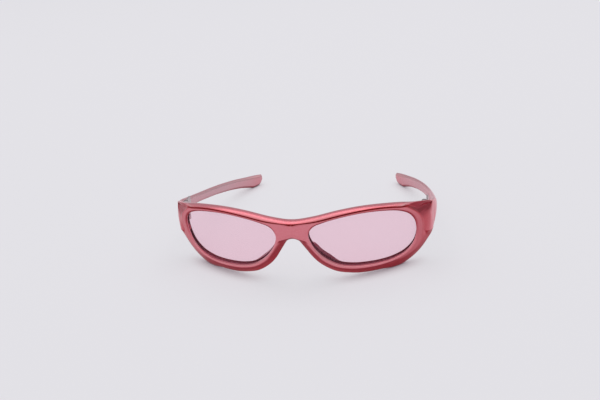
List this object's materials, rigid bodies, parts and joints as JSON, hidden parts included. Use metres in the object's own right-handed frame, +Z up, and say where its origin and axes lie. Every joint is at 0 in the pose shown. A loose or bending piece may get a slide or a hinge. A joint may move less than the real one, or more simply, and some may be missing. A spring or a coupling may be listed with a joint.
{
  "type": "sports sunglasses",
  "caption": "Wraparound one-piece sports glasses front with tinted lenses snapped into grooves and folding temples on steel hinges.",
  "frame": {"origin": "centre of the bounding box in X and Y, on the plane that the rims and the temple tips rest on", "axes": "+X to the wearer's left across the frame, +Y backwards along the open temples, +Z up"},
  "size_m": [0.1376, 0.1294, 0.0398],
  "materials": {
    "paint": "metallic pearl lacquer over injection-moulded plastic",
    "lens_tint": "polished, pale pink tint",
    "steel": "satin, lightly oiled"
  },
  "bodies": {
    "front": {"front_frame": "paint", "lens_right": "lens_tint", "hinge_front_leaf_right": "steel", "hinge_screw_right": "steel", "front_leaf_screw_right": "steel", "lens_left": "lens_tint", "hinge_front_leaf_left": "steel", "hinge_screw_left": "steel", "front_leaf_screw_left": "steel"},
    "temple_arm_right": {"temple_right": "paint", "hinge_temple_leaf_right": "steel", "temple_leaf_screw_right": "steel"},
    "temple_arm_left": {"temple_left": "paint", "hinge_temple_leaf_left": "steel", "temple_leaf_screw_left": "steel"}
  },
  "joints": [
    {"name": "temple_right_fold", "type": "hinge", "parent": "front", "child": "temple_arm_right", "pos_m": [0.06258, -0.03068, 0.0252], "axis": [0, 0, 1], "range_deg": [0, 80]},
    {"name": "temple_left_fold", "type": "hinge", "parent": "front", "child": "temple_arm_left", "pos_m": [-0.06258, -0.03068, 0.0252], "axis": [0, 0, -1], "range_deg": [0, 87]}
  ]
}
